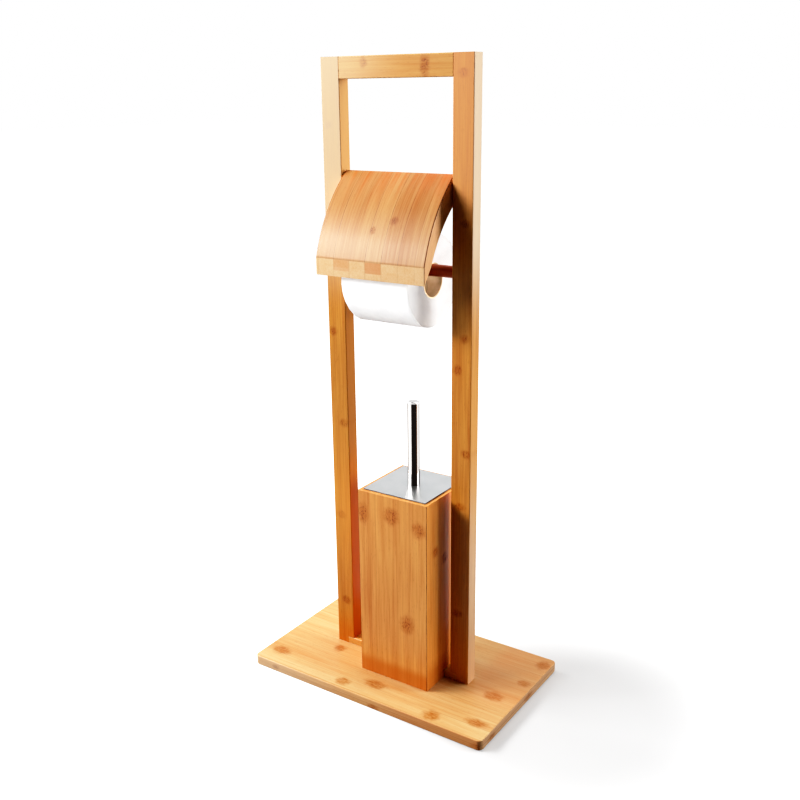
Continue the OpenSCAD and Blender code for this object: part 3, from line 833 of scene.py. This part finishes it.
def paper_roll():
    """The roll: an uneven, softly embossed sheet whose loose end lies flat, and its wound ends."""
    bm = bmesh.new()
    centre = (ROLL_LO + ROLL_HI) / 2
    outer = (ROLL_HI.y - ROLL_LO.y) / 2 - 0.35 * MM
    inner = (CORE_HI.z - CORE_LO.z) / 2
    half_w = (ROLL_HI.x - ROLL_LO.x) / 2
    facets, along, end_steps = 300, 64, 13
    edge, loose_end, step_out = 1.2 * MM, math.radians(118), 0.16 * MM
    dot, dot_depth, quilt, quilt_depth = 2.1 * MM, 0.09 * MM, 6.5 * MM, 0.06 * MM
    waves = roll_waves(5, 5)

    def surface(angle, x):
        # The sheet thins out past the loose end, which leaves a small step along the roll
        past = ((angle - loose_end) % (2 * math.pi)) / (2 * math.pi)
        swell = sum(a * math.sin(n * angle + p) for a, n, p in waves) * 0.35
        dots = math.sin(x / dot) * math.sin(angle * outer / dot)
        quilting = dot_depth * dots + quilt_depth * math.sin(angle * 24) * math.sin(x / quilt)
        return outer - step_out * past + min(0.25 * MM, swell + quilting)

    def end_face(angle, side):
        # From the core outwards, with a soft ripple of the wound layers
        for share in spread(0, 1, end_steps):
            ripple = 0.18 * MM * math.sin(share * 52 + 2.5 * math.sin(angle + side))
            depth = 0.2 * MM + ripple * math.sin(math.pi * share)
            radius = inner + (surface(angle, side * half_w) - edge - inner) * share
            yield side * (half_w - depth), radius

    def sheet(angle):
        for x in spread(-half_w, half_w, along):
            rounding = max(0.0, edge - (half_w - abs(x)))
            drop = edge - math.sqrt(max(0.0, edge * edge - rounding * rounding))
            yield x, surface(angle, x) - drop * 0.8

    columns = []
    for angle in spread(0, 2 * math.pi, facets)[:-1]:
        column = [*end_face(angle, -1), *sheet(angle), *list(end_face(angle, 1))[::-1]]
        columns.append(add_ring(bm, [
            (centre.x + x, centre.y + r * math.cos(angle), centre.z + r * math.sin(angle))
            for x, r in column]))
    bridge(bm, [*columns, columns[0]], capped=False)
    make_piece("paper_roll_sheet", bm, [TISSUE], "roll", "paper_roll", smooth=50)


def core():
    """The cardboard tube with slightly soft ends."""
    bm = bmesh.new()
    centre = Vector((0, 0, (CORE_LO.z + CORE_HI.z) / 2))
    outer, wall, soft = (CORE_HI.z - CORE_LO.z) / 2, 1.2 * MM, 0.2 * MM
    inner = outer - wall
    profile = [(inner, CORE_LO.x + soft), (inner + soft, CORE_LO.x), (outer, CORE_LO.x),
               (outer, CORE_HI.x), (inner + soft, CORE_HI.x), (inner, CORE_HI.x - soft)]
    rings = lathe(bm, profile, 96, centre, axis="x")
    bridge(bm, [*rings, rings[0]], capped=False)
    make_piece("cardboard_core_wound", bm, [CARDBOARD], "roll", "cardboard_core")


def rod():
    """The rod with softened shoulders and rounded tenon ends."""
    bm = bmesh.new()
    centre = Vector((0, 0, (ROD_LO.z + ROD_HI.z) / 2))
    radius, tenon, soft = (ROD_HI.z - ROD_LO.z) / 2, 4.5 * MM, 0.7 * MM
    left, right = ROD_SHOULDERS
    profile = [(tenon - soft, ROD_LO.x), (tenon, ROD_LO.x + soft), (tenon, left),
               (radius - soft, left), (radius, left + soft), (radius, right - soft),
               (radius - soft, right), (tenon, right), (tenon, ROD_HI.x - soft),
               (tenon - soft, ROD_HI.x)]
    bridge(bm, lathe(bm, profile, 64, centre, axis="x"))
    make_piece("roll_rod_turned", bm, [ROD], "rod", "roll_rod")


def lid_plate():
    """The satin plate with rounded corners and a softened edge."""
    bm = bmesh.new()
    levels = soft_levels(PLATE_LO.z, PLATE_HI.z, 0.35 * MM, 3)
    # The side faces take the darker steel, a painted dark reflection along the edge
    for face in bridge(bm, stack(bm, PLATE_LO, PLATE_HI, levels, 1.2 * MM, 5)):
        face.material_index = 1
    materials = [PLATE_STEEL, PLATE_EDGE_PAINTED_DARK]
    flat_faces(make_piece("lid_plate_satin", bm, materials, "brush", "lid_plate"))


def handle():
    """The polished tube and its domed cap."""
    centre = Vector(((TUBE_LO.x + TUBE_HI.x) / 2, 0, 0))
    radius = (TUBE_HI.x - TUBE_LO.x) / 2
    bore = radius - 1 * MM
    bm = bmesh.new()
    low, high, soft = TUBE_LO.z, TUBE_HI.z, 0.3 * MM
    profile = [(bore, low), (radius - soft, low), (radius, low + soft), (radius, high), (bore, high)]
    rings = lathe(bm, profile, 64, centre)
    bridge(bm, [*rings, rings[0]], capped=False)
    make_piece("handle_tube_polished", bm, [HANDLE_STEEL], "brush", "handle_tube")

    bm = bmesh.new()
    dome = CAP_HI.z - high
    spigot = bore - 0.05 * MM
    profile = [(spigot, CAP_LO.z), (spigot, high), (radius, high)]
    for angle in spread(0, math.pi / 2, 8):
        profile.append((radius - dome * (1 - math.cos(angle)), high + dome * math.sin(angle)))
    bridge(bm, lathe(bm, profile, 64, centre))
    make_piece("handle_cap_domed", bm, [CAP_STEEL], "brush", "handle_cap")


def liner_cup():
    """The plastic cup with round corners inside and out and a rolled rim."""
    bm = bmesh.new()
    wall, corner, soft = 2 * MM, 12 * MM, 0.8 * MM
    floor_top = LINER_LO.z + wall
    rim = [(inset, LINER_HI.z - drop) for inset, drop in soft_edge(soft, 3)]
    levels = [(2.5 * MM, LINER_LO.z), (0.8 * MM, LINER_LO.z + 0.7 * MM), (0, LINER_LO.z + 2.5 * MM)]
    levels += rim + [(wall - inset, z) for inset, z in rim[::-1]]
    levels += [(wall, floor_top + 3 * MM), (wall + 0.9 * MM, floor_top + 0.9 * MM),
               (wall + 3 * MM, floor_top)]
    bridge(bm, stack(bm, LINER_LO, LINER_HI, levels, corner, 8))
    make_piece("liner_cup_moulded", bm, [WHITE_PLASTIC], "liner", "liner_cup")


def brush_head():
    """The brush's core, with a rounded nose and a socket for the stick."""
    bm = bmesh.new()
    centre = Vector(((HEAD_LO.x + HEAD_HI.x) / 2, 0, 0))
    radius = (HEAD_HI.x - HEAD_LO.x) / 2
    nose = (HEAD_HI.z - HEAD_LO.z) * 0.3
    socket, blunt = 6.05 * MM, 0.3 * MM
    profile = [(radius * 0.6, HEAD_LO.z), (radius * 0.7, HEAD_LO.z + blunt)]
    for k in range(1, 11):
        widening = 0.7 + 0.3 * math.sin(math.pi / 2 * k / 10)
        profile.append((radius * widening - 0.05 * MM, HEAD_LO.z + nose * k / 10))
    profile += [(radius, HEAD_HI.z - 0.8 * MM), (radius - 0.8 * MM, HEAD_HI.z), (socket, HEAD_HI.z),
                (socket, STICK_FOOT - 0.5 * MM)]
    bridge(bm, lathe(bm, profile, 64, centre))
    make_piece("brush_head_turned", bm, [WHITE_PLASTIC], "brush", "brush_head")


def strand(bm, root, tip, bend, radius):
    """One bristle: a thin three-sided tube with a slight bend and a blunt end."""
    along = (tip - root).normalized()
    side = along.orthogonal().normalized()
    other = along.cross(side)
    rings = []
    for share in (0.0, 0.5, 1.0):
        middle = root.lerp(tip, share) + bend * math.sin(math.pi * share)
        thin = radius * (1 - 0.3 * share)
        rings.append(add_ring(bm, [middle + thin * (math.cos(a) * side + math.sin(a) * other)
                                   for a in (0, 2 * math.pi / 3, 4 * math.pi / 3)]))
    bridge(bm, rings)


def bristles():
    """Rows of bristle tufts round the core, cut to a rounded barrel."""
    bm = bmesh.new()
    rng = random.Random(11)
    centre = Vector(((BRISTLE_LO.x + BRISTLE_HI.x) / 2, 0, 0))
    core_r = (HEAD_HI.x - HEAD_LO.x) / 2 - 0.6 * MM
    tip_r = (BRISTLE_HI.x - BRISTLE_LO.x) / 2
    rows, tufts, strands = 15, 22, 4
    height = BRISTLE_HI.z - BRISTLE_LO.z
    for row in range(rows):
        level = (row + 0.5) / rows
        z = BRISTLE_LO.z + height * (0.02 + 0.96 * level)
        crown = max(0.0, abs(level - 0.5) - 0.3) / 0.2
        reach = tip_r * (1 - 0.12 * crown)
        for tuft in range(tufts):
            turn = 2 * math.pi * (tuft + 0.5 * (row % 2)) / tufts
            out = Vector((math.cos(turn), math.sin(turn), 0))
            root = centre + out * core_r + Vector((0, 0, z))
            for _ in range(strands):
                angle = turn + rng.uniform(-0.06, 0.06)
                splay = Vector((math.cos(angle), math.sin(angle), 0))
                drop = rng.uniform(-1, 1) * 0.9 * MM
                length = reach * rng.uniform(0.965, 0.995)
                tip = centre + splay * length + Vector((0, 0, z + drop))
                bend = Vector((0, 0, rng.uniform(-0.6, 0.6) * MM))
                strand(bm, root, tip, bend, 0.32 * MM)
    make_piece("bristle_tufts", bm, [NYLON], "brush", "bristles", smooth=80)


def soften_node(name, width):
    """Rounds a CAD node's arrises with modifiers; its own mesh stays as it is."""
    node = frame["nodes"][name]
    weld = node.modifiers.new("weld", "WELD")
    weld.merge_threshold = 1e-6
    bevel = node.modifiers.new("soft_arris", "BEVEL")
    bevel.width = width
    bevel.segments = 2
    bevel.limit_method = "ANGLE"
    bevel.angle_limit = math.radians(35)
    flat_faces(node, keep_sharp=False)


def kept_nodes():
    """Better materials for the CAD nodes whose shape is right."""
    looks = (
        (LEFT_POST, "left_post"), (RIGHT_POST, "right_post"), (TOP_RAIL, "top_rail"),
        (FOOT_RAIL, "foot_rail"), (DOWEL, "top_rail_dowels"), (BOX_FRONT, "box_front_panel"),
        (BOX_BACK_WOOD, "box_back_panel"), (BOX_SIDE, "box_left_panel", "box_right_panel"),
        (INNER_BOARD, "box_floor_panel"), (WHITE_PLASTIC, "brush_stick"),
        (SCREW_STEEL, "post_screws", "foot_rail_screws", "hinge_pins", "handle_plug", "plate_stud"),
    )
    for material, *names in looks:
        for name in names:
            for place in frame["nodes"][name].material_slots:
                place.material = material
    for side in ("front", "back", "left", "right"):
        soften_node(f"box_{side}_panel", 0.5 * MM)
    for side in ("left", "right"):
        soften_node(side + "_post", 0.3 * MM)


# Camera, floor and light

CAMERA_PLACE = Vector((0.681912, -1.016808, 0.778071))
CAMERA_AZIMUTH, CAMERA_ELEVATION, CAMERA_ROLL = 33.9503, 17.3085, -0.6418
FOCAL_PIXELS, IMAGE_PIXELS, SENSOR = 988.337, 800, 36.0
AIM = Vector((0, 0, 0.4))

# The card round the handle: its azimuths, its heights and how far it is from the handle's middle
CARD_AZIMUTHS = (8, 71)
CARD_HEIGHTS = (PLATE_HI.z, TUBE_HI.z)
CARD_REACH = 10 * MM
CARD_STEPS = 24
CARD_TONE = (0.03, 0.028, 0.027, 1)
CARD_GLOW_TONE = (1.0, 0.85, 0.8, 1)
CARD_GLOW = 0.05

# The floor: its glow near and far from a place right of the base, which changes between two distances.
# The dimmer glow near that place is painted shade, which lets the stand's real shadow show there and
# deepens it
FLOOR_SHADE_MIDDLE = (0.24, 0.02)
FLOOR_CHANGE = (0.1, 0.33)
FLOOR_GLOW = (0.26, 1.0)
FLOOR_TONE = (0.5, 0.5, 0.5, 1)
FLOOR_HALF = 20
WHITE = (1, 1, 1, 1)
SOFT_LIGHT = 0.07  # how much of the white world lights matt surfaces

# Lamps that look at AIM: name, azimuth, elevation, distance, width, height, power and, for some,
# the one piece that the lamp lights alone, INCLUDE, or leaves out, EXCLUDE
LAMPS = (
    ("key", -43, 27, 2.0, 0.7, 0.55, 22),
    ("key_left", -60, 27, 2.0, 0.7, 0.55, 41),
    ("left", -92, 20, 2.0, 0.8, 1.1, 18),
    ("right", 122, 12, 2.0, 0.9, 1.1, 23, "cover_panel_soft", "EXCLUDE"),
    ("right_front", 104, 14, 2.0, 0.9, 1.1, 9, "cover_panel_soft", "EXCLUDE"),
    ("cover_right", 132, 12, 2.0, 0.5, 1.1, 34, "cover_panel_soft", "INCLUDE"),
    ("overhead", 172, 66, 1.9, 1.4, 1.2, 15),
    ("high_left", -110, 60, 1.9, 1.0, 1.0, 6),
    ("roll_fill", 20, -12, 1.0, 1.0, 0.35, 8, "paper_roll_sheet", "INCLUDE"),
    ("end_fill", 110, -15, 1.0, 1.0, 0.35, 4, "paper_roll_sheet", "INCLUDE"),
    ("core_fill", 70, 8, 1.0, 1.0, 0.35, 30, "cardboard_core_wound", "INCLUDE"),
)

# How bright a place becomes, as (before, after), both from 0 to 1
TONE_POINTS = ((0.02, 0.003), (0.06, 0.026), (0.18, 0.145), (0.45, 0.48), (0.75, 0.82))


def around(centre, azimuth, elevation, distance):
    """A point seen from centre; azimuth 0 is in front, 90 on the right."""
    a, e = math.radians(azimuth), math.radians(elevation)
    way = Vector((math.sin(a) * math.cos(e), -math.cos(a) * math.cos(e), math.sin(e)))
    return centre + distance * way


def camera():
    """The photograph's camera."""
    back = around(Vector(), CAMERA_AZIMUTH, CAMERA_ELEVATION, 1)
    right = around(Vector(), CAMERA_AZIMUTH + 90, 0, 1)
    up = back.cross(right)
    roll = math.radians(CAMERA_ROLL)
    c, s = math.cos(roll), math.sin(roll)
    level, upright = c * right + s * up, c * up - s * right
    data = bpy.data.cameras.new("camera")
    data.sensor_width = SENSOR
    data.lens = FOCAL_PIXELS / IMAGE_PIXELS * SENSOR
    data.clip_start, data.clip_end = 0.05, 60
    view = add_object("camera", data)
    view.matrix_world = Matrix.Translation(CAMERA_PLACE) @ Matrix(
        (level, upright, back)).transposed().to_4x4()
    bpy.context.scene.camera = view


def softbox(name, azimuth, elevation, distance, width, height, power, piece=None, state=None):
    data = bpy.data.lights.new(name, "AREA")
    data.shape = "RECTANGLE"
    data.size, data.size_y = width, height
    data.energy = power
    lamp = add_object(name, data)
    lamp.location = around(AIM, azimuth, elevation, distance)
    lamp.rotation_euler = (lamp.location - AIM).to_track_quat("Z", "Y").to_euler()
    lamp.visible_camera = False
    if piece:
        lit = bpy.data.collections.new(name)
        lit.objects.link(bpy.data.objects[piece])
        lit.collection_objects[0].light_linking.link_state = state
        lamp.light_linking.receiver_collection = lit


def dark_card():
    """A curved card round the handle, dark on its inner side, which only reflections see."""
    material, g, shader = new_material(
        "dark_card", base_color=CARD_TONE, roughness=1.0, specular_ior_level=0.0,
        emission_color=CARD_GLOW_TONE, emission_strength=CARD_GLOW)
    outside = g.add("ShaderNodeNewGeometry").outputs["Backfacing"]
    clear = g.add("ShaderNodeBsdfTransparent").outputs[0]
    one_sided = g.add("ShaderNodeMixShader", {0: outside, 1: shader.outputs[0], 2: clear})
    g.put(material.node_tree.nodes["Material Output"].inputs["Surface"], one_sided.outputs[0])
    middle = Vector(((TUBE_LO.x + TUBE_HI.x) / 2, 0, 0))
    bm = bmesh.new()
    low, high = (add_ring(bm, [around(middle + Vector((0, 0, z)), turn, 0, CARD_REACH)
                               for turn in spread(*CARD_AZIMUTHS, CARD_STEPS)])
                 for z in CARD_HEIGHTS)
    for k in range(CARD_STEPS):
        bm.faces.new((low[k + 1], low[k], high[k], high[k + 1]))
    card = mesh_object("dark_card", bm, [material])
    for rays in ("camera", "diffuse", "shadow", "transmission"):
        setattr(card, "visible_" + rays, False)


def floor():
    """A pale floor that glows less round a place right of the stand, as painted shade, and turns into
    plain white away from it.
    """
    material, g, shader = new_material("studio_floor", base_color=FLOOR_TONE, roughness=0.9,
                                       specular_ior_level=0.0, emission_color=WHITE)
    x, y = g.split(g.place())[:2]
    away = g.length(g.minus(x, FLOOR_SHADE_MIDDLE[0]), g.minus(y, FLOOR_SHADE_MIDDLE[1]))
    g.put(shader.inputs["Emission Strength"], g.ramp(away, *FLOOR_CHANGE, *FLOOR_GLOW))
    bm = bmesh.new()
    bmesh.ops.create_grid(bm, x_segments=1, y_segments=1, size=FLOOR_HALF)
    sheet = mesh_object("floor", bm, [material])
    sheet.visible_diffuse = False


def world():
    """White all round for the camera and for reflections, dim for soft light."""
    made = bpy.data.worlds.new("studio")
    bpy.context.scene.world = made
    made.use_nodes = True
    made.node_tree.nodes.clear()
    g = Graph(made.node_tree)
    path = g.add("ShaderNodeLightPath").outputs
    strength = g.ramp(path["Is Diffuse Ray"], 0.0, 1.0, 1.0, SOFT_LIGHT, smooth=False)
    background = g.add("ShaderNodeBackground", {0: WHITE, 1: strength}).outputs[0]
    g.add("ShaderNodeOutputWorld", {0: background})


def contrast():
    """A tone curve with deeper shadows."""
    look = bpy.context.scene.view_settings
    look.view_transform = "Standard"
    look.use_curve_mapping = True
    for before, after in TONE_POINTS:
        look.curve_mapping.curves[3].points.new(before, after)
    look.curve_mapping.update()


base_board()
base_pads()
cover_panel()
paper_roll()
core()
rod()
lid_plate()
handle()
liner_cup()
brush_head()
bristles()
kept_nodes()
camera()
floor()
world()
for each in LAMPS:
    softbox(*each)
dark_card()
contrast()

# Light thrown on by shiny surfaces would leave spots on the board
bpy.context.scene.cycles.caustics_reflective = False

bpy.context.view_layer.update()
